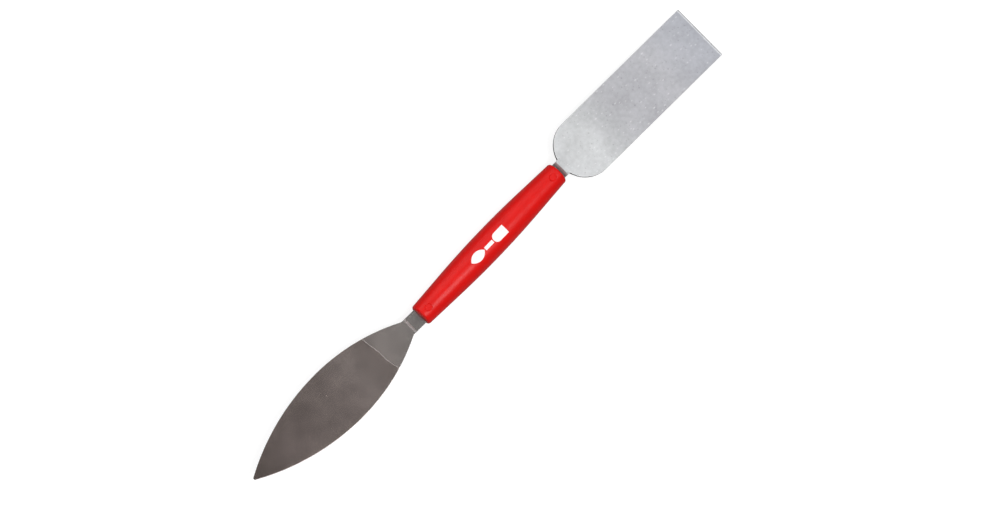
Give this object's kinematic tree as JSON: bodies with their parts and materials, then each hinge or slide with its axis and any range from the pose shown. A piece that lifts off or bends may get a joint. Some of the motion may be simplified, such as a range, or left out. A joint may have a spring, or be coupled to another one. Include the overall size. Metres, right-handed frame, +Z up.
{
  "type": "plasterer's leaf and square small tool",
  "caption": "Double-ended plasterer's small tool: a red moulded handle between a pointed leaf-shaped steel blade and a round-rooted square steel blade.",
  "frame": {"origin": "on the table that the tool lies on, halfway along the tool's overall length, under the handle's centre line", "axes": "+X along the handle towards the square blade, so the leaf is at -X; +Y across the tool; +Z up from the table"},
  "size_m": [0.2879, 0.0325, 0.0142],
  "materials": {
    "red_plastic": "satin moulded",
    "leaf_steel": "ground, dull grey",
    "square_steel": "bright, mottled"
  },
  "bodies": {
    "root": {"handle_grip": "red_plastic", "leaf_blade": "leaf_steel", "square_blade": "square_steel"}
  },
  "joints": []
}
